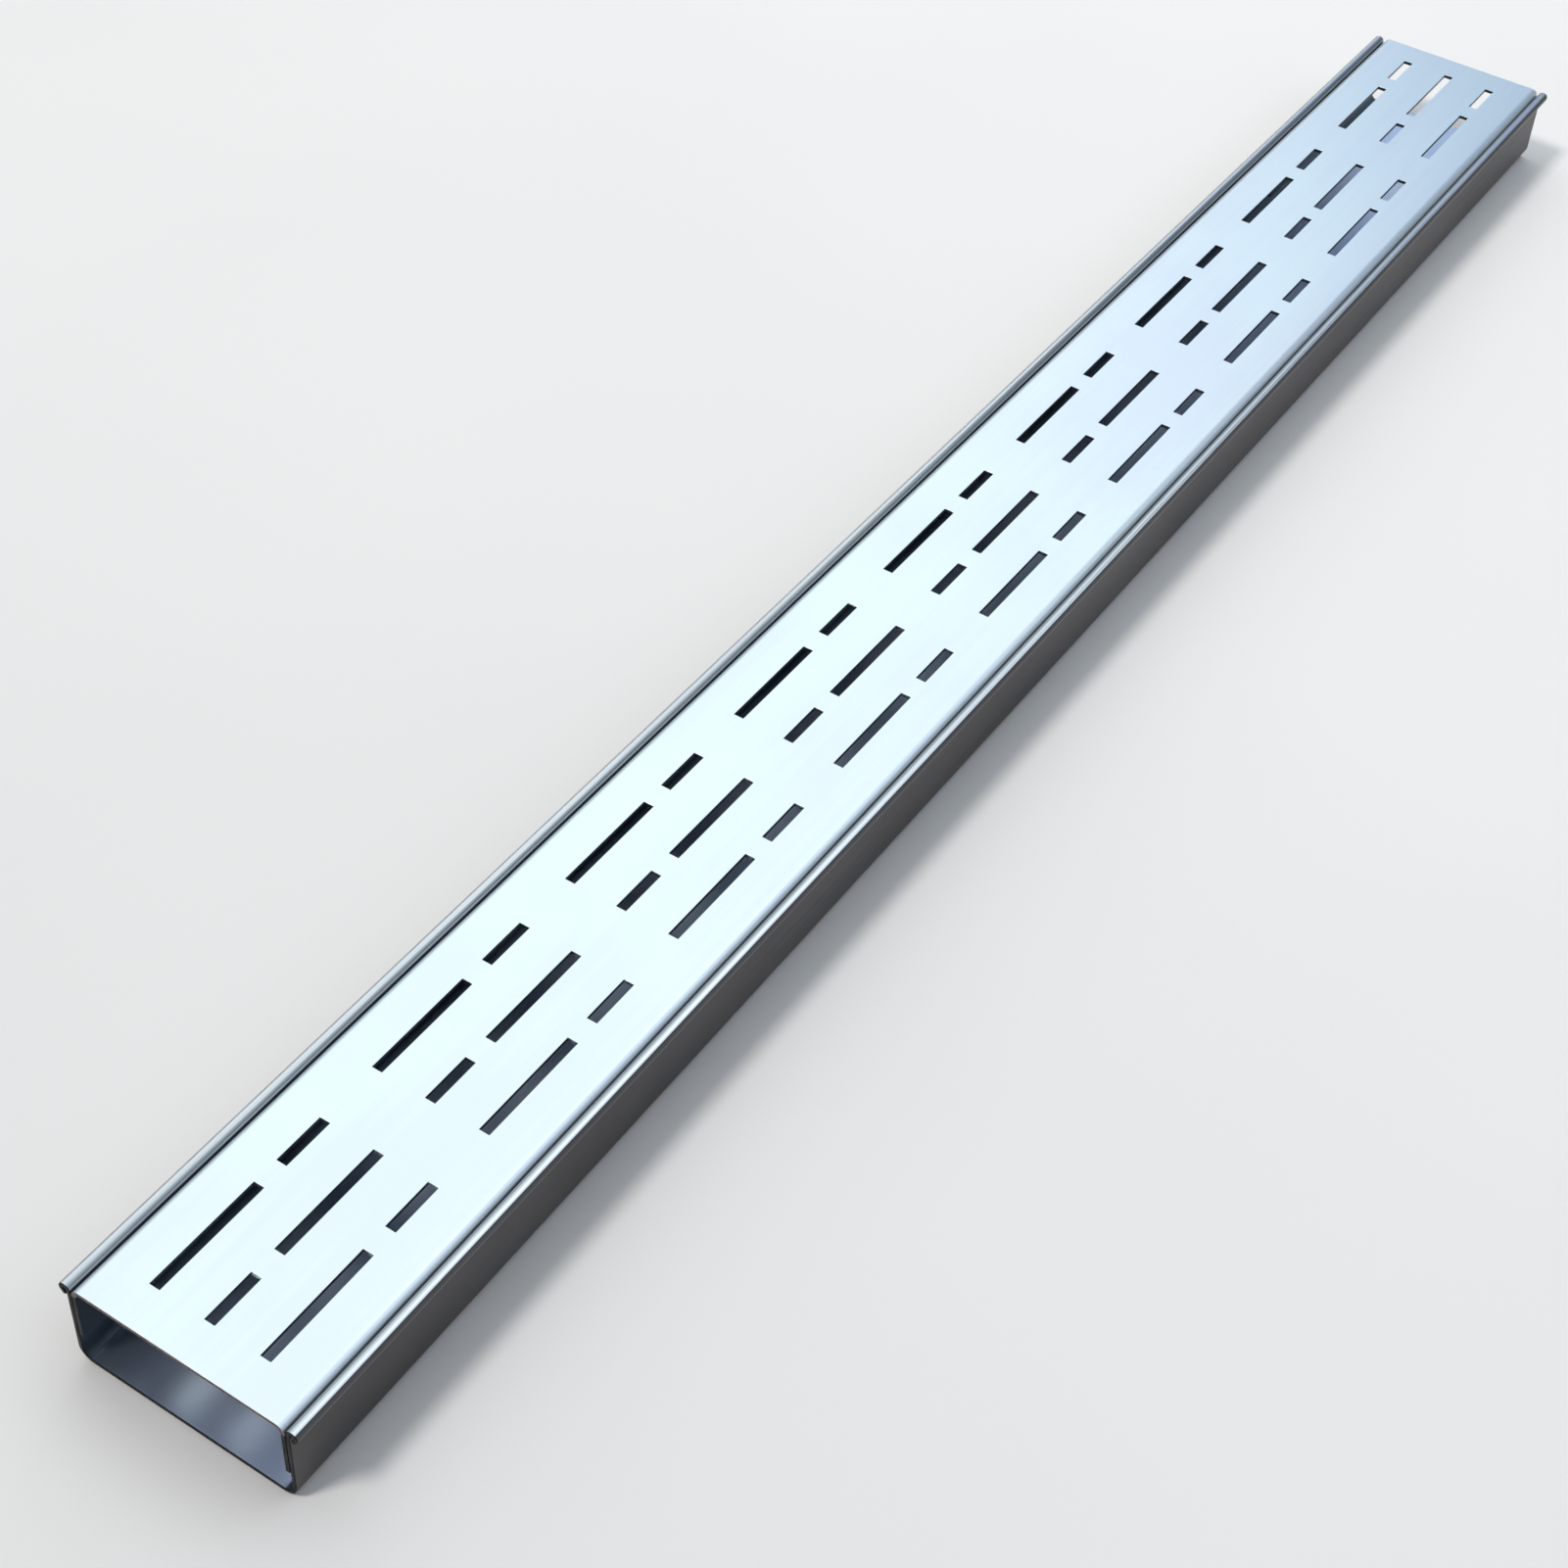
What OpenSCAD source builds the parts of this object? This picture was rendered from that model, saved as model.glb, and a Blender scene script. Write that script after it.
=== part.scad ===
// Linear channel drain: a folded stainless steel channel, open at both ends, with rolled lips,
// and a slotted cover that drops in between the lips until its feet stand on the floor bends.
// The length runs along Y, the width along X, and the underside of the channel lies on Z = 0.

/* [Channel] */
// Length of the channel and of its cover
channel_len = 900; // [300:1:3000]
// Width over the two lips
channel_w = 90; // [75:0.5:200]
// Height from the underside to the top of the lips
channel_h = 35; // [26:0.5:120]
// Thickness of the channel's sheet
channel_sheet = 1.5; // [1:0.1:2]
// Inside radius of the two floor bends
floor_bend_r = 4; // [1:0.25:8]

/* [Lips] */
// Inside radius of the rolled lip
lip_r = 0.75; // [0.5:0.05:1.5]
// How far past a half turn the lip rolls back towards the wall, in degrees
lip_roll = 35; // [20:1:60]
// Gap left between the end of the roll and the wall
lip_gap = 0.2; // [0.1:0.05:0.4]

/* [Cover] */
// Thickness of the cover's sheet
cover_sheet = 1.5; // [1:0.1:2]
// Inside radius of the cover's two edge bends
cover_bend_r = 2; // [0.5:0.25:4]
// Gap between the cover and the channel wall on each side
side_gap = 0.3; // [0.2:0.05:1]
// Gap left between the feet and the floor bends that they stand on
seat_gap = 0.3; // [0.1:0.05:0.5]

/* [Feet] */
// Length of each foot along the channel
foot_len = 30; // [10:1:50]
// How far the feet reach below the cover's legs
foot_h = 8; // [4:0.25:12]
// Radius of the inside corners between feet and legs
foot_corner_r = 2; // [0.5:0.25:3]

/* [Slots] */
// Width of every slot
slot_w = 4; // [2:0.25:8]
// Length of the long slots
long_slot = 45; // [30:1:60]
// Length of the short slots
short_slot = 20; // [10:1:28]
// Bridge between a long and a short slot in one row
slot_bridge = 10; // [4:0.5:20]
// Plain strip between one group of slots and the next
group_gap = 24.5; // [10:0.5:50]
// Distance between neighbouring rows of slots
row_pitch = 21; // [12:0.5:28]

/* [Hidden] */

// Smooth circles for the bends
$fn = 72;
// How far a cutter reaches past the sheet it cuts
over = 5;

// The channel's walls and the circle that its lip rolls round
lip_outer_r = lip_r + channel_sheet;
lip_x = channel_w / 2 - lip_outer_r;
lip_z = channel_h - lip_outer_r;
wall_in = lip_x - lip_outer_r;
floor_outer_r = floor_bend_r + channel_sheet;

// Straight end of the roll, which stops just short of the wall's outer face
roll_end = (lip_r * (1 + cos(lip_roll)) - lip_gap) / sin(lip_roll);

// The cover's half width over its legs, and the outer radius of its bends
cover_half = wall_in - side_gap;
cover_outer_r = cover_bend_r + cover_sheet;

// Height at which the outer corner of a foot meets the curve of the floor bend
seat_z = floor_outer_r - sqrt(side_gap * (2 * floor_bend_r - side_gap));
foot_z = seat_z + seat_gap;

// Slots come in equal groups, as many as the length holds, centred along it
group_len = long_slot + slot_bridge + short_slot;
group_pitch = group_len + group_gap;
group_count = floor(channel_len / group_pitch);
first_group = -(group_count * group_pitch - group_gap) / 2;

// Band of sheet bent round a circle, from angle a0 through at most a half turn
module bend(inner_r, sheet, a0, turn) {
    reach = 2 * (inner_r + sheet);
    intersection() {
        difference() {
            circle(inner_r + sheet);
            circle(inner_r);
        }
        polygon([
            [0, 0],
            reach * [cos(a0), sin(a0)],
            reach * [cos(a0 + turn / 3), sin(a0 + turn / 3)],
            reach * [cos(a0 + 2 * turn / 3), sin(a0 + 2 * turn / 3)],
            reach * [cos(a0 + turn), sin(a0 + turn)]
        ]);
    }
}

// Both halves of an outline that is drawn for +X
module both_sides() {
    children();
    mirror([1, 0]) children();
}

// Stands an outline drawn in X and Z up and draws it out along the whole length
module along_length() {
    translate([0, channel_len / 2, 0])
        rotate([90, 0, 0])
            linear_extrude(channel_len) children();
}

// Rolled lip: over the top, down the outside and back towards the wall
module lip_outline() {
    translate([lip_x, lip_z]) {
        bend(lip_r, channel_sheet, 0, 180);
        bend(lip_r, channel_sheet, -lip_roll, lip_roll);
        rotate(-lip_roll)
            translate([lip_r, -roll_end])
                square([channel_sheet, roll_end]);
    }
}

module channel_outline() {
    both_sides() {
        square([wall_in - floor_bend_r, channel_sheet]);
        translate([wall_in - floor_bend_r, floor_outer_r])
            bend(floor_bend_r, channel_sheet, -90, 90);
        translate([wall_in, floor_outer_r])
            square([channel_sheet, lip_z - floor_outer_r]);
        lip_outline();
    }
}

// Cover before it is cut: a flat top with two legs that reach down to the floor bends
module cover_outline() {
    both_sides() {
        translate([0, channel_h - cover_sheet])
            square([cover_half - cover_outer_r, cover_sheet]);
        translate([cover_half - cover_outer_r, channel_h - cover_outer_r])
            bend(cover_bend_r, cover_sheet, 0, 90);
        translate([cover_half - cover_sheet, foot_z])
            square([cover_sheet, channel_h - cover_outer_r - foot_z]);
    }
}

// One slot, from y0 to y0 + len, in the row at x
module slot(x, y0, len) {
    translate([x - slot_w / 2, y0, channel_h - cover_sheet - over])
        cube([slot_w, len, cover_sheet + 2 * over]);
}

// Outer rows start with the long slot and the middle row with the short one
module slot_group(y0) {
    for (row = [-1, 1]) {
        slot(row * row_pitch, y0, long_slot);
        slot(row * row_pitch, y0 + long_slot + slot_bridge, short_slot);
    }
    slot(0, y0, short_slot);
    slot(0, y0 + short_slot + slot_bridge, long_slot);
}

module slots() {
    for (i = [0 : group_count - 1])
        slot_group(first_group + i * group_pitch);
}

// Opening with two round upper corners, cut up from below through both legs, from y0 to y1
module leg_relief(y0, y1) {
    span = y1 - y0;
    translate([-cover_half - over, y0, foot_z])
        rotate([90, 0, 90])
            linear_extrude(2 * (cover_half + over)) {
                translate([0, -over])
                    square([span, over + foot_h - foot_corner_r]);
                translate([foot_corner_r, -over])
                    square([span - 2 * foot_corner_r, over + foot_h]);
                for (y = [foot_corner_r, span - foot_corner_r])
                    translate([y, foot_h - foot_corner_r]) circle(foot_corner_r);
            }
}

// A foot stands under the middle of each plain strip between two groups of slots
module leg_reliefs() {
    foot_centres = [
        for (i = [1 : group_count - 1]) first_group + i * group_pitch - group_gap / 2
    ];
    past_end = channel_len / 2 + over;
    starts = [-past_end, for (c = foot_centres) c + foot_len / 2];
    ends = [for (c = foot_centres) c - foot_len / 2, past_end];
    for (i = [0 : len(starts) - 1])
        leg_relief(starts[i], ends[i]);
}

// Outer channel, folded from one sheet
module channel() {
    color("lightsteelblue")
        along_length() channel_outline();
}

// Slotted cover, folded from one sheet
module cover() {
    color("gainsboro")
        difference() {
            along_length() cover_outline();
            slots();
            leg_reliefs();
        }
}

channel();
cover();
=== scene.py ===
"""Looks of the channel drain: finely folded sheets, steel finishes, pale floor, soft light and camera."""
import math

import bpy
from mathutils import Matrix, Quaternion, Vector


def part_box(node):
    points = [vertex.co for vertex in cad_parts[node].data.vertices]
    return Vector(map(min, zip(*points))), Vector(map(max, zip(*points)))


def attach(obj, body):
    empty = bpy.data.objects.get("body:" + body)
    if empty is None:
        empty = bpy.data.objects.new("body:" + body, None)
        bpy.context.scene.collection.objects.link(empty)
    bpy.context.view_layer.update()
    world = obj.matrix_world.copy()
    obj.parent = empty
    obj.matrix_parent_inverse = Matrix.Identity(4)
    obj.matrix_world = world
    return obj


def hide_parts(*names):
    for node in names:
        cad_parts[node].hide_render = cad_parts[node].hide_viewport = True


MM = 0.001

# Section of the channel, in mm
SHEET = 1.5
FLOOR_BEND_R = 4.0
LIP_R = 0.75
LIP_ROLL = 35.0
LIP_GAP = 0.2

# Section of the cover, in mm
COVER_BEND_R = 2.0
FOOT_LEN = 30.0
FOOT_H = 8.0
FOOT_CORNER_R = 2.0

# Slots, in mm
SLOT_W = 4.0
LONG_SLOT = 45.0
SHORT_SLOT = 20.0
SLOT_BRIDGE = 10.0
GROUP_GAP = 24.5
ROW_PITCH = 21.0

# Fineness of the bends and of the foot corners, in degrees
BEND_STEP = 6.0
CORNER_STEP = 15.0
# Number of equal parts that the channel's faces are cut into along its length
CHANNEL_PARTS = 12
# Rounding of every cut edge, in mm
EDGE_ROUND = 0.24
# Angle between two faces above which their edge is sharp and gets rounded, in degrees
SHARP_ANGLE = 35.0
# Differences in mm that count as none: between two lengths, between two grid lines, and from an end
NEAR = 1e-6
SAME_LINE = 1e-3
AT_END = 0.01

# Upward part of a face's normal, which is 1 straight up, where a finish ends on a bend; the faces turned
# away past it take darker copies of the steel, which are painted shade
LIP_OUTSIDE_UP = 0.80
LIP_INSIDE_UP = 0.35
COVER_BRUSHED_UP = 0.0
CHANNEL_FLOOR_UP = 0.97
# Distances from the middle between which the lips go from painted shade on their inner side, in the
# groove beside the cover, to their own brushed tone, in metres
LIP_GROOVE_SHADE_X = 0.0414
LIP_SHADE_END_X = 0.0433
# Depth of the grain, in metres
GRAIN_DEPTH = 0.00001
FLOOR_GRAIN_DEPTH = 0.0000015

# Places in the channel's list of materials
LIP_TOP, CHANNEL_FLOOR, CHANNEL_OUTSIDE_SHADE, CHANNEL_EDGE_SHADE, CHANNEL_INSIDE_SHADE = range(5)
# Places in the cover's list of materials
COVER_TOP, COVER_LEG_SHADE, COVER_UNDERSIDE, TOP_END, LEG_END_SHADE, SLOT_EDGE = range(6)
# Value for which a rounded edge takes the material of the faces beside it
OWN_MATERIAL = -1

# Side of the pale floor, in metres
FLOOR_SIZE = 14.0
# Distance from the drain down to the pale floor, in mm, so that no two faces share a plane
FLOOR_GAP = 0.3

# Camera: places in metres, roll in degrees, lens and sensor in mm
CAMERA_AT = Vector((0.3608, -0.7382, 0.7016))
CAMERA_LOOKS_AT = Vector((0.0017, -0.1406, 0.0175))
CAMERA_ROLL = 3.77
CAMERA_LENS = 63.2
SENSOR_WIDTH = 36.0


class Path:
    """Centre line of a folded sheet, walked from the middle outwards in X and Z."""

    def __init__(self, x, z, heading):
        self.s = 0.0
        self.x = x
        self.z = z
        self.heading = math.radians(heading)
        self.stations = []
        self.note()

    def note(self):
        """Keeps a station: the flat distance from the middle, the place and the normal."""
        normal = (-math.sin(self.heading), math.cos(self.heading))
        self.stations.append((self.s, self.x, self.z, *normal))

    def line(self, length):
        """Walks straight on."""
        self.s += length
        self.x += length * math.cos(self.heading)
        self.z += length * math.sin(self.heading)
        self.note()

    def arc(self, radius, turn):
        """Walks round a bend; turn is in degrees, and from +X towards +Z when positive."""
        steps = math.ceil(abs(turn) / BEND_STEP)
        step = math.radians(turn) / steps
        side = math.copysign(1, turn)
        centre_x = self.x - side * radius * math.sin(self.heading)
        centre_z = self.z + side * radius * math.cos(self.heading)
        for _ in range(steps):
            self.heading += step
            self.s += radius * abs(step)
            self.x = centre_x + side * radius * math.sin(self.heading)
            self.z = centre_z - side * radius * math.cos(self.heading)
            self.note()

    def both_halves(self):
        """Stations of the whole width: the path's mirror image in X, then the path."""
        left = [(-s, -x, z, -nx, nz) for s, x, z, nx, nz in reversed(self.stations[1:])]
        return left + self.stations


def fold(stations, s):
    """Place and normal of the centre line at the flat distance s from the middle."""
    for a, b in zip(stations, stations[1:]):
        if s <= b[0] + NEAR:
            t = (s - a[0]) / (b[0] - a[0])
            return [p + t * (q - p) for p, q in zip(a[1:], b[1:])]
    return list(stations[-1][1:])


def folded_sheet(name, stations, faces, finish_at):
    """Closed mesh of a sheet cut to flat faces, lists of (s, y) in mm, and folded along the stations.

    finish_at(side, z, up, out) gives the place of a face's material in the piece's list. It takes the
    side of the sheet, which is "front" where the normals point, "back", "end" or "cut", the height in
    mm, and how far the face faces up and outwards.
    """
    end_y = max(y for face in faces for s, y in face)
    index = {}
    verts = []
    upper = []
    for face in faces:
        ring = []
        for s, y in face:
            key = (round(s, 3), round(y, 3))
            if key not in index:
                index[key] = len(verts) // 2
                x, z, nx, nz = fold(stations, s)
                for reach in (SHEET / 2, -SHEET / 2):
                    verts.append(Vector((x + reach * nx, y, z + reach * nz)) * MM)
            ring.append(index[key])
        upper.append(ring)
    polygons = []
    slots = []
    edges = {}
    for face, ring in zip(faces, upper):
        x, z, nx, nz = fold(stations, sum(s for s, y in face) / len(face))
        out = nx * math.copysign(1, x)
        polygons.append([2 * i for i in ring])
        slots.append(finish_at("front", z, nz, out))
        polygons.append([2 * i + 1 for i in reversed(ring)])
        slots.append(finish_at("back", z, -nz, -out))
        for a, b in zip(ring, ring[1:] + ring[:1]):
            edges[(a, b)] = (b, a) not in edges
            if (b, a) in edges:
                edges[(b, a)] = False
    for (a, b), is_rim in edges.items():
        if is_rim:
            polygons.append([2 * b, 2 * a, 2 * a + 1, 2 * b + 1])
            place = (verts[2 * a] + verts[2 * b + 1]) / 2 / MM
            side = "end" if abs(place.y) > end_y - AT_END else "cut"
            slots.append(finish_at(side, place.z, 0.0, 0.0))
    mesh = bpy.data.meshes.new(name)
    mesh.from_pydata(verts, [], polygons)
    for polygon, material in zip(mesh.polygons, slots):
        polygon.material_index = material
        polygon.use_smooth = True
    mesh.set_sharp_from_angle(angle=math.radians(SHARP_ANGLE))
    piece = bpy.data.objects.new(name, mesh)
    bpy.context.scene.collection.objects.link(piece)
    return piece


def round_edges(piece, rounded_material):
    """Rounds the cut edges of a sheet a little, in a material from its list or in OWN_MATERIAL."""
    bevel = piece.modifiers.new("cut_edges", "BEVEL")
    bevel.width = EDGE_ROUND * MM
    bevel.segments = 2
    bevel.limit_method = "ANGLE"
    bevel.angle_limit = math.radians(SHARP_ANGLE)
    bevel.harden_normals = True
    bevel.material = rounded_material


def between(values, a, b):
    """The values from a to b, sorted and without repeats."""
    kept = sorted(round(v, 4) for v in values if a - NEAR <= v <= b + NEAR)
    return [v for i, v in enumerate(kept) if i == 0 or v - kept[i - 1] > SAME_LINE]


def slot_boxes(half_len):
    """Flat rectangles (s0, s1, y0, y1) of all slots, and the places of the feet along the cover."""
    group = LONG_SLOT + SLOT_BRIDGE + SHORT_SLOT
    pitch = group + GROUP_GAP
    count = int(2 * half_len / pitch)
    first = -(count * pitch - GROUP_GAP) / 2
    boxes = []
    for i in range(count):
        y = first + i * pitch
        for row in (-1, 0, 1):
            lead = SHORT_SLOT if row == 0 else LONG_SLOT
            s0 = row * ROW_PITCH - SLOT_W / 2
            s1 = s0 + SLOT_W
            boxes.append((s0, s1, y, y + lead))
            boxes.append((s0, s1, y + lead + SLOT_BRIDGE, y + group))
    feet = [first + i * pitch - GROUP_GAP / 2 for i in range(1, count)]
    return boxes, feet


def corner_fan(side, s_corner, y_corner, along):
    """Sheet left in an inside corner between a foot and a leg, as one flat face."""
    r = FOOT_CORNER_R
    steps = round(90 / CORNER_STEP)
    centre_s = s_corner + side * r
    centre_y = y_corner + along * r
    ring = [(s_corner, y_corner)]
    for i in range(steps + 1):
        a = math.radians(90) * i / steps
        ring.append((centre_s - side * r * math.sin(a), centre_y - along * r * math.cos(a)))
    if side * along > 0:
        ring.reverse()
    return ring


def cover_faces(stations, leg_s, half_len):
    """Flat faces of the cover: its grid of cells without slots and leg openings, and the corner fans."""
    boxes, feet = slot_boxes(half_len)
    end_s = stations[-1][0]
    fan_s = leg_s + FOOT_CORNER_R
    s_lines = [st[0] for st in stations]
    s_lines += [side * s for side in (-1, 1) for s in (leg_s, fan_s)]
    s_lines += [s for box in boxes for s in box[:2]]
    y_lines = [-half_len, half_len]
    y_lines += [y for box in boxes for y in box[2:]]
    half_foot = FOOT_LEN / 2
    reach = half_foot + FOOT_CORNER_R
    y_lines += [c + d for c in feet for d in (-reach, -half_foot, half_foot, reach)]
    s_lines = between(s_lines, -end_s, end_s)
    y_lines = between(y_lines, -half_len, half_len)
    faces = []
    for s0, s1 in zip(s_lines, s_lines[1:]):
        for y0, y1 in zip(y_lines, y_lines[1:]):
            s = (s0 + s1) / 2
            y = (y0 + y1) / 2
            in_slot = any(a < s < b and c < y < d for a, b, c, d in boxes)
            on_foot = any(abs(y - c) < half_foot for c in feet)
            if in_slot or (abs(s) > leg_s and not on_foot):
                continue
            faces.append([(s0, y0), (s1, y0), (s1, y1), (s0, y1)])
    for side in (-1, 1):
        for c in feet:
            for along in (-1, 1):
                faces.append(corner_fan(side, side * leg_s, c + along * half_foot, along))
    return faces


def channel_piece(low, high):
    """Channel: floor, bends, walls and rolled lips in one folded sheet."""
    half = SHEET / 2
    lip_outer = LIP_R + SHEET
    lip_x = high.x / MM - lip_outer
    lip_z = high.z / MM - lip_outer
    wall_in = lip_x - lip_outer
    roll = math.radians(LIP_ROLL)
    roll_end = (LIP_R * (1 + math.cos(roll)) - LIP_GAP) / math.sin(roll)
    path = Path(0.0, half, 0.0)
    path.line(wall_in - FLOOR_BEND_R)
    path.arc(FLOOR_BEND_R + half, 90)
    path.line(lip_z - FLOOR_BEND_R - SHEET)
    path.arc(LIP_R + half, -180 - LIP_ROLL)
    path.line(roll_end)
    stations = path.both_halves()
    ys = [low.y / MM + i * (high.y - low.y) / MM / CHANNEL_PARTS for i in range(CHANNEL_PARTS + 1)]
    s_lines = [st[0] for st in stations]
    faces = []
    for s0, s1 in zip(s_lines, s_lines[1:]):
        for y0, y1 in zip(ys, ys[1:]):
            faces.append([(s0, y0), (s1, y0), (s1, y1), (s0, y1)])

    def finish_at(side, z, up, out):
        """Brushed where the lips face up and bright on the floor inside; the walls, inner bends, lip
        flanks and cut edges are darkened with painted shade.
        """
        if side in ("end", "cut"):
            return CHANNEL_EDGE_SHADE
        if side == "front" and z > lip_z and up > (LIP_OUTSIDE_UP if out > 0 else LIP_INSIDE_UP):
            return LIP_TOP
        if side == "front" and z < lip_z:
            return CHANNEL_FLOOR if up > CHANNEL_FLOOR_UP else CHANNEL_INSIDE_SHADE
        return CHANNEL_OUTSIDE_SHADE

    return folded_sheet("channel_sheet", stations, faces, finish_at)


def cover_piece(low, high):
    """Cover: slotted top, edge bends and legs with feet in one folded sheet."""
    half = SHEET / 2
    outer_r = COVER_BEND_R + SHEET
    cover_half = high.x / MM
    top = high.z / MM
    foot_z = low.z / MM
    path = Path(0.0, top - half, 0.0)
    path.line(cover_half - outer_r)
    path.arc(COVER_BEND_R + half, -90)
    path.line(top - outer_r - foot_z)
    stations = path.both_halves()
    leg_s = stations[-1][0] - FOOT_H
    faces = cover_faces(stations, leg_s, high.y / MM)

    def finish_at(side, z, up, out):
        """Brushed on the top and darkened with painted shade on the legs; the slots, legs and feet share
        one cut edge.
        """
        on_top = z > top - outer_r
        if side == "end":
            return TOP_END if on_top else LEG_END_SHADE
        if side == "cut":
            return SLOT_EDGE
        if side == "front":
            return COVER_TOP if on_top and up > COVER_BRUSHED_UP else COVER_LEG_SHADE
        return COVER_UNDERSIDE if on_top else COVER_LEG_SHADE

    return folded_sheet("cover_sheet", stations, faces, finish_at)


class Finish:
    """Short way to add nodes to one material."""

    def __init__(self, name):
        self.material = bpy.data.materials.new(name)
        self.material.use_nodes = True
        self.nodes = self.material.node_tree.nodes
        self.links = self.material.node_tree.links
        self.shader = self.nodes["Principled BSDF"]
        self.place = self.nodes.new("ShaderNodeTexCoord").outputs["Object"]

    def noise(self, scale, detail=3.0, roughness=0.5):
        """Noise over the object, with one scale for each axis, in features per metre."""
        mapping = self.nodes.new("ShaderNodeMapping")
        mapping.inputs["Scale"].default_value = scale
        self.links.new(self.place, mapping.inputs["Vector"])
        texture = self.nodes.new("ShaderNodeTexNoise")
        texture.inputs["Scale"].default_value = 1.0
        texture.inputs["Detail"].default_value = detail
        texture.inputs["Roughness"].default_value = roughness
        self.links.new(mapping.outputs["Vector"], texture.inputs["Vector"])
        return texture.outputs["Fac"]

    def spread(self, value, low, high, to_low, to_high):
        """Maps a value from one range to another."""
        node = self.nodes.new("ShaderNodeMapRange")
        node.inputs["From Min"].default_value = low
        node.inputs["From Max"].default_value = high
        node.inputs["To Min"].default_value = to_low
        node.inputs["To Max"].default_value = to_high
        self.links.new(value, node.inputs["Value"])
        return node.outputs["Result"]

    def add(self, a, b):
        node = self.nodes.new("ShaderNodeMath")
        node.operation = "ADD"
        self.links.new(a, node.inputs[0])
        self.links.new(b, node.inputs[1])
        return node.outputs["Value"]

    def off_middle(self):
        """Distance from the middle plane X = 0, in metres."""
        parts = self.nodes.new("ShaderNodeSeparateXYZ")
        self.links.new(self.place, parts.inputs["Vector"])
        node = self.nodes.new("ShaderNodeMath")
        node.operation = "ABSOLUTE"
        self.links.new(parts.outputs["X"], node.inputs[0])
        return node.outputs["Value"]

    def mix(self, share, a, b):
        """Mixes two colours; a or b is a colour or a node's output."""
        node = self.nodes.new("ShaderNodeMix")
        node.data_type = "RGBA"
        self.links.new(share, node.inputs[0])
        for socket, colour in ((node.inputs[6], a), (node.inputs[7], b)):
            if isinstance(colour, tuple):
                socket.default_value = (*colour, 1.0)
            else:
                self.links.new(colour, socket)
        return node.outputs[2]

    def bump(self, height, strength, distance):
        node = self.nodes.new("ShaderNodeBump")
        node.inputs["Strength"].default_value = strength
        node.inputs["Distance"].default_value = distance
        self.links.new(height, node.inputs["Height"])
        self.links.new(node.outputs["Normal"], self.shader.inputs["Normal"])


def steel(name, light, dark, smooth, rough, grain_depth=GRAIN_DEPTH, groove_shade=None):
    """Stainless sheet with a fine grain along its length, cloudy patches and a few scuffs.

    The tone varies from light to dark and the roughness from smooth to rough. The colour given last is
    painted shade, which the inner side of the lips fades to towards the groove beside the cover.
    """
    finish = Finish(name)
    finish.shader.inputs["Metallic"].default_value = 1.0
    grain = finish.noise((1400, 9, 1400), 4.0, 0.6)
    broad_grain = finish.noise((330, 4, 330), 2.0)
    clouds = finish.noise((17, 9, 17), 3.0)
    scuffs = finish.noise((90, 55, 90), 5.0, 0.7)
    faint_grain = finish.spread(broad_grain, 0.0, 1.0, 0.0, 0.3)
    share = finish.spread(finish.add(clouds, faint_grain), 0.5, 0.8, 0.0, 1.0)
    tone = finish.mix(share, light, dark)
    scuff_share = finish.spread(scuffs, 0.62, 0.74, 0.0, 0.35)
    tone = finish.mix(scuff_share, tone, dark)
    # Painted shade: the lips darken towards their inner side, in the groove beside the cover
    if groove_shade:
        unshaded_share = finish.spread(finish.off_middle(), LIP_GROOVE_SHADE_X, LIP_SHADE_END_X, 0.0, 1.0)
        tone = finish.mix(unshaded_share, groove_shade, tone)
    finish.links.new(tone, finish.shader.inputs["Base Color"])
    mixed = finish.add(grain, clouds)
    finish.links.new(finish.spread(mixed, 0.7, 1.3, smooth, rough), finish.shader.inputs["Roughness"])
    finish.bump(finish.add(grain, broad_grain), 0.35, grain_depth)
    return finish.material


def cut_edge(name, light, dark):
    """Sheared edge: dull, darker than the sheet's faces and with fine upright streaks. Where its colours
    are near black, they are painted shade.
    """
    finish = Finish(name)
    finish.shader.inputs["Metallic"].default_value = 1.0
    streaks = finish.noise((700, 700, 120), 3.0)
    share = finish.spread(streaks, 0.35, 0.65, 0.0, 1.0)
    finish.links.new(finish.mix(share, light, dark), finish.shader.inputs["Base Color"])
    finish.links.new(finish.spread(streaks, 0.3, 0.7, 0.38, 0.6), finish.shader.inputs["Roughness"])
    finish.bump(streaks, 0.4, 0.00004)
    return finish.material


def pale_floor():
    """Wide pale floor under the drain."""
    bpy.ops.mesh.primitive_plane_add(size=FLOOR_SIZE, location=(0, 0, -FLOOR_GAP * MM))
    floor = bpy.context.object
    floor.name = "floor"
    finish = Finish("pale_floor")
    clouds = finish.noise((3, 3, 3), 2.0)
    share = finish.spread(clouds, 0.3, 0.7, 0.0, 1.0)
    tone = finish.mix(share, (0.90, 0.89, 0.885), (0.87, 0.862, 0.858))
    finish.links.new(tone, finish.shader.inputs["Base Color"])
    finish.shader.inputs["Roughness"].default_value = 0.9
    finish.shader.inputs["Specular IOR Level"].default_value = 0.1
    floor.data.materials.append(finish.material)


def aim(name, data, azimuth, elevation, distance=0.0):
    """Lamp that looks at the drain; azimuth is turned from +Y towards -X, both angles in degrees."""
    a = math.radians(azimuth)
    e = math.radians(elevation)
    toward = Vector((-math.sin(a) * math.cos(e), math.cos(a) * math.cos(e), math.sin(e)))
    lamp = bpy.data.objects.new(name, data)
    lamp.location = toward * distance
    lamp.rotation_mode = "QUATERNION"
    lamp.rotation_quaternion = toward.to_track_quat("Z", "Y")
    bpy.context.scene.collection.objects.link(lamp)


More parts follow.
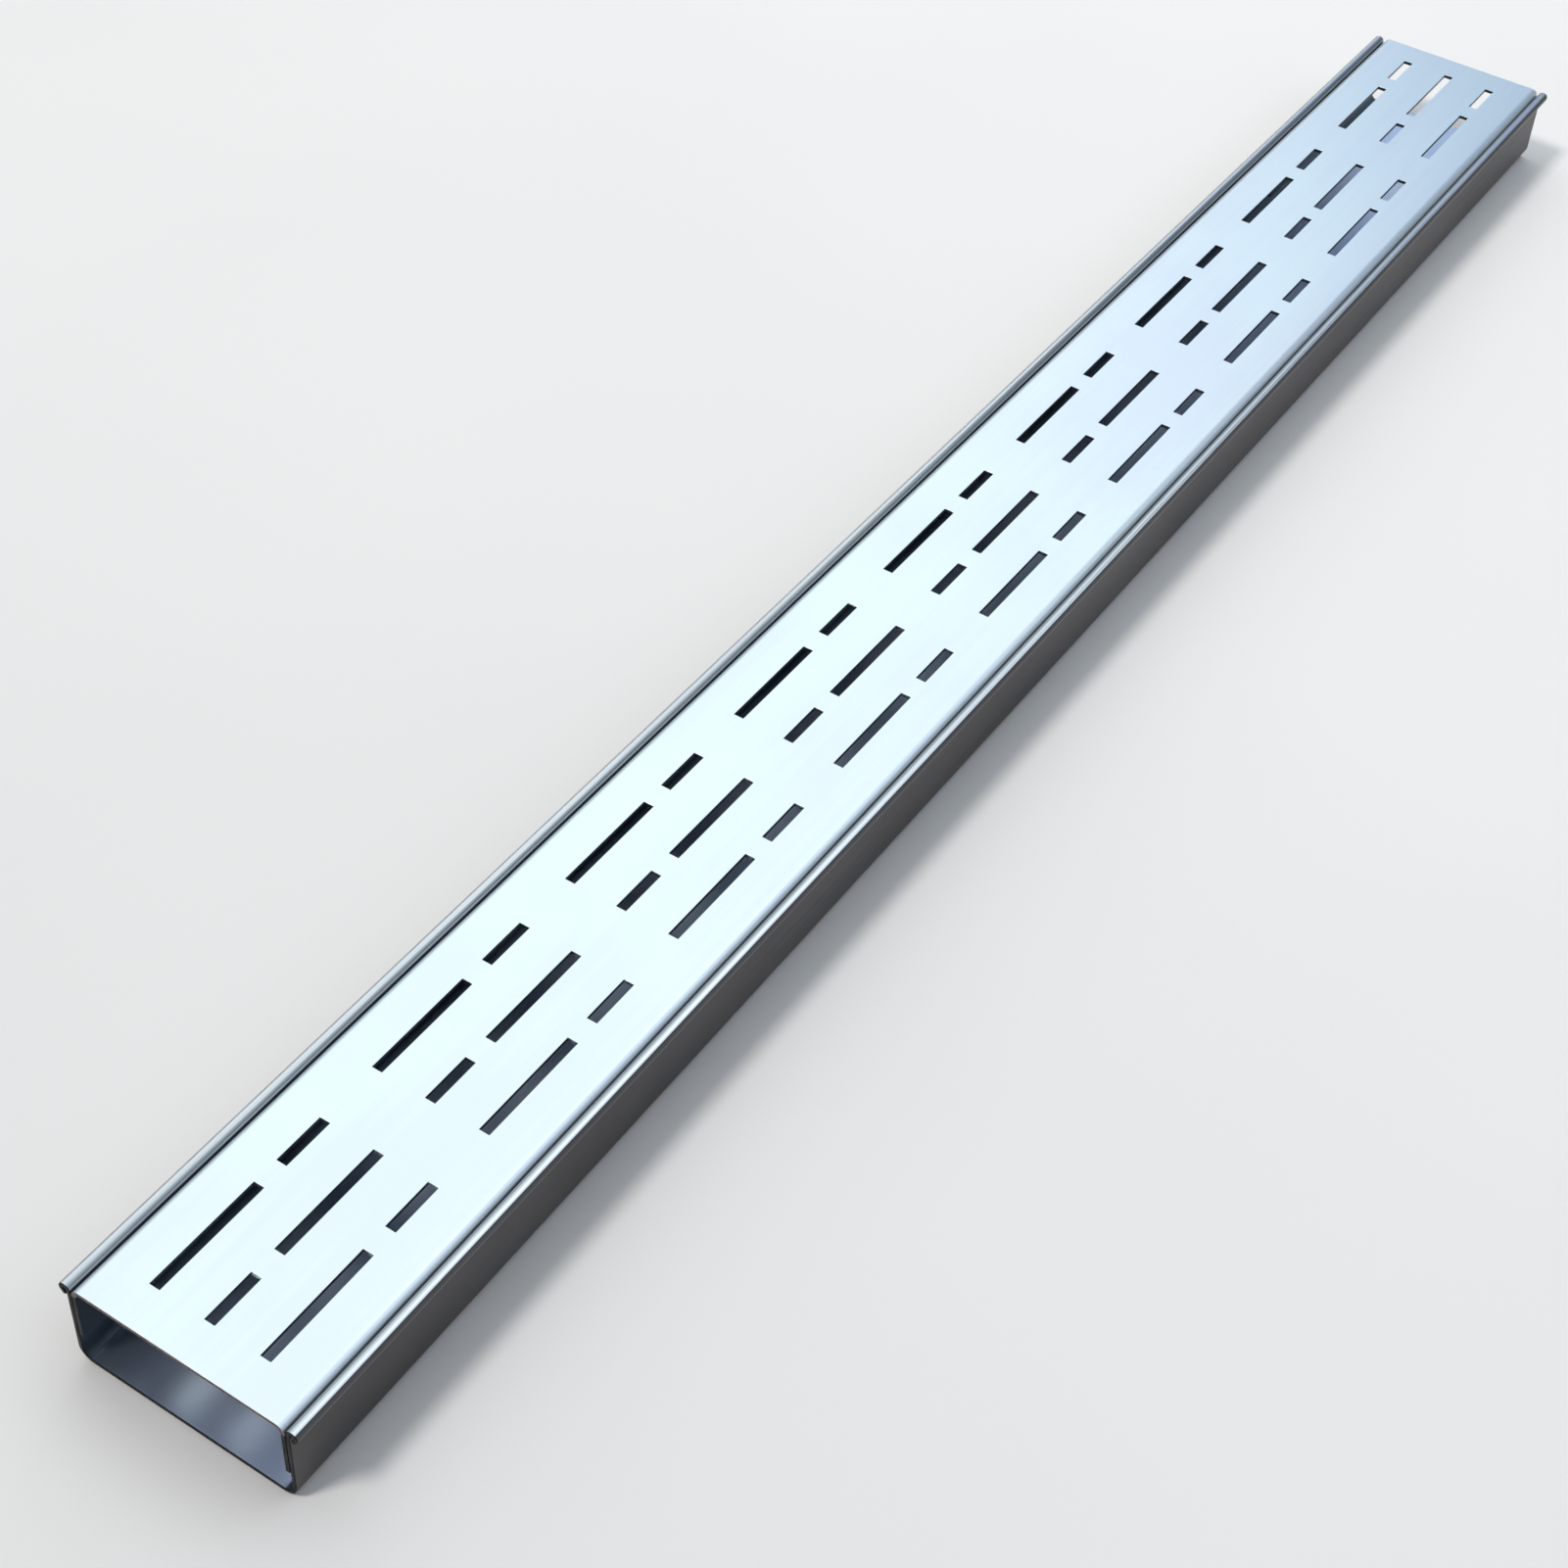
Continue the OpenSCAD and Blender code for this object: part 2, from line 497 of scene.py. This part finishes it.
def softbox(name, azimuth, elevation, distance, width, height, radiance, colour):
    """Rectangular lamp of a given size and distance, in metres."""
    data = bpy.data.lights.new(name, "AREA")
    data.shape = "RECTANGLE"
    data.size = width
    data.size_y = height
    data.energy = radiance * math.pi * width * height
    data.color = colour
    aim(name, data, azimuth, elevation, distance)


def sun(name, azimuth, elevation, strength, spread, colour):
    """Even light from one direction, softened over spread degrees."""
    data = bpy.data.lights.new(name, "SUN")
    data.energy = strength
    data.angle = math.radians(spread)
    data.color = colour
    aim(name, data, azimuth, elevation)


def soft_light():
    """Softbox on the left, bluish panels behind and on the right, a key, and a room pale low down."""
    softbox(
        "left_softbox",
        azimuth=53,
        elevation=56,
        distance=2.0,
        width=2.57,
        height=2.76,
        radiance=0.99,
        colour=(0.96, 1.0, 0.98),
    )
    softbox(
        "back_panel",
        azimuth=6,
        elevation=26.7,
        distance=2.5,
        width=1.3,
        height=0.82,
        radiance=0.50,
        colour=(0.44, 0.63, 1.0),
    )
    softbox(
        "right_panel",
        azimuth=-61,
        elevation=57,
        distance=2.0,
        width=2.34,
        height=2.05,
        radiance=0.89,
        colour=(0.86, 0.93, 1.0),
    )
    sun("left_key", azimuth=150, elevation=58, strength=1.3, spread=12, colour=(1.0, 0.95, 0.90))
    world = bpy.data.worlds.new("pale_room")
    world.use_nodes = True
    nodes = world.node_tree.nodes
    links = world.node_tree.links
    background = nodes["Background"]
    background.inputs["Color"].default_value = (0.80, 0.89, 1.0, 1.0)
    direction = nodes.new("ShaderNodeTexCoord")
    parts = nodes.new("ShaderNodeSeparateXYZ")
    fade = nodes.new("ShaderNodeMapRange")
    fade.inputs["From Max"].default_value = 0.42
    fade.inputs["To Min"].default_value = 0.62
    fade.inputs["To Max"].default_value = 0.14
    links.new(direction.outputs["Generated"], parts.inputs["Vector"])
    links.new(parts.outputs["Z"], fade.inputs["Value"])
    links.new(fade.outputs["Result"], background.inputs["Strength"])
    bpy.context.scene.world = world


def camera():
    """The photo's camera, as fitted to the slots and outlines."""
    data = bpy.data.cameras.new("camera")
    data.lens = CAMERA_LENS
    data.sensor_width = SENSOR_WIDTH
    data.clip_start = 0.01
    data.clip_end = 50.0
    cam = bpy.data.objects.new("camera", data)
    looks = (CAMERA_LOOKS_AT - CAMERA_AT).to_track_quat("-Z", "Y")
    cam.rotation_mode = "QUATERNION"
    cam.location = CAMERA_AT
    cam.rotation_quaternion = looks @ Quaternion((0, 0, 1), math.radians(CAMERA_ROLL))
    bpy.context.scene.collection.objects.link(cam)
    bpy.context.scene.camera = cam


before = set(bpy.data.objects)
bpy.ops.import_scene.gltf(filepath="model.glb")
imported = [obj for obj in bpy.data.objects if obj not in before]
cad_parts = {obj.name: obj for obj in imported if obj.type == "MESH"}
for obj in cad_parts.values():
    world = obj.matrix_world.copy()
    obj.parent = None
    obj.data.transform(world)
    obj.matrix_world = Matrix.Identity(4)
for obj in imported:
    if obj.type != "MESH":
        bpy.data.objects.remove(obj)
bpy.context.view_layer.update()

# Steel of the channel
lip_steel = steel(
    "lip_brushed",
    light=(0.82, 0.88, 0.93),
    dark=(0.75, 0.81, 0.87),
    smooth=0.26,
    rough=0.34,
    # Painted shade on the lips' inner side, in the groove beside the cover
    groove_shade=(0.33, 0.355, 0.38),
)
inside_steel = steel(
    "channel_floor",
    light=(0.77, 0.86, 1.0),
    dark=(0.72, 0.81, 0.97),
    smooth=0.27,
    rough=0.32,
    grain_depth=FLOOR_GRAIN_DEPTH,
)
# Painted shade: the outer walls, underside and lip flanks are steel darkened far below its own tone, in
# place of the shadowed floor that they reflect
wall_shade_steel = steel(
    "channel_walls_painted_shade",
    light=(0.140, 0.134, 0.136),
    dark=(0.118, 0.113, 0.114),
    smooth=0.46,
    rough=0.56,
)
# Painted shade: the inner walls and floor bends are darkened in place of the shade inside the channel
inner_bend_shade_steel = steel(
    "channel_inner_bends_painted_shade",
    light=(0.17, 0.215, 0.26),
    dark=(0.137, 0.175, 0.215),
    smooth=0.38,
    rough=0.48,
)

# Steel of the cover
top_steel = steel(
    "cover_brushed",
    light=(0.835, 0.95, 1.0),
    dark=(0.80, 0.89, 0.985),
    smooth=0.36,
    rough=0.43,
)
# Painted shade: the legs and the down-facing part of the cover's bends are darkened far below the steel's
# tone
leg_shade_steel = steel(
    "cover_legs_painted_shade",
    light=(0.11, 0.125, 0.145),
    dark=(0.088, 0.10, 0.118),
    smooth=0.38,
    rough=0.48,
)
under_steel = steel(
    "cover_underside",
    light=(0.84, 0.895, 1.0),
    dark=(0.78, 0.84, 0.96),
    smooth=0.38,
    rough=0.48,
)

# Cut edges of both
# Painted shade: the channel's end faces and cut edges are near black, in place of the shade they sit in
channel_edge_shade = cut_edge("channel_cut_edge_painted_shade", light=(0.025, 0.024, 0.027), dark=(0.015, 0.015, 0.017))
cover_cut = cut_edge("cover_cut_edge", light=(0.24, 0.17, 0.15), dark=(0.13, 0.095, 0.085))
# Painted shade: the ends of the legs are near black, in place of the shade inside the channel
leg_edge_shade = cut_edge("leg_cut_edge_painted_shade", light=(0.02, 0.02, 0.023), dark=(0.013, 0.013, 0.015))
slot_cut = cut_edge("slot_cut_edge", light=(0.24, 0.27, 0.30), dark=(0.17, 0.19, 0.22))

channel = channel_piece(*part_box("channel"))
cover = cover_piece(*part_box("cover"))
for material in (lip_steel, inside_steel, wall_shade_steel, channel_edge_shade, inner_bend_shade_steel):
    channel.data.materials.append(material)
for material in (top_steel, leg_shade_steel, under_steel, cover_cut, leg_edge_shade, slot_cut):
    cover.data.materials.append(material)
# The channel's rounded edges take its near-black cut edge, painted shade in place of their highlight
for piece, node, record_slot, rounded_material in (
    (channel, "channel", "channel_steel", CHANNEL_EDGE_SHADE),
    (cover, "cover", "cover_steel", OWN_MATERIAL),
):
    round_edges(piece, rounded_material)
    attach(piece, "root")
    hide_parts(node)

pale_floor()
soft_light()
camera()
bpy.context.scene.view_settings.view_transform = "Standard"
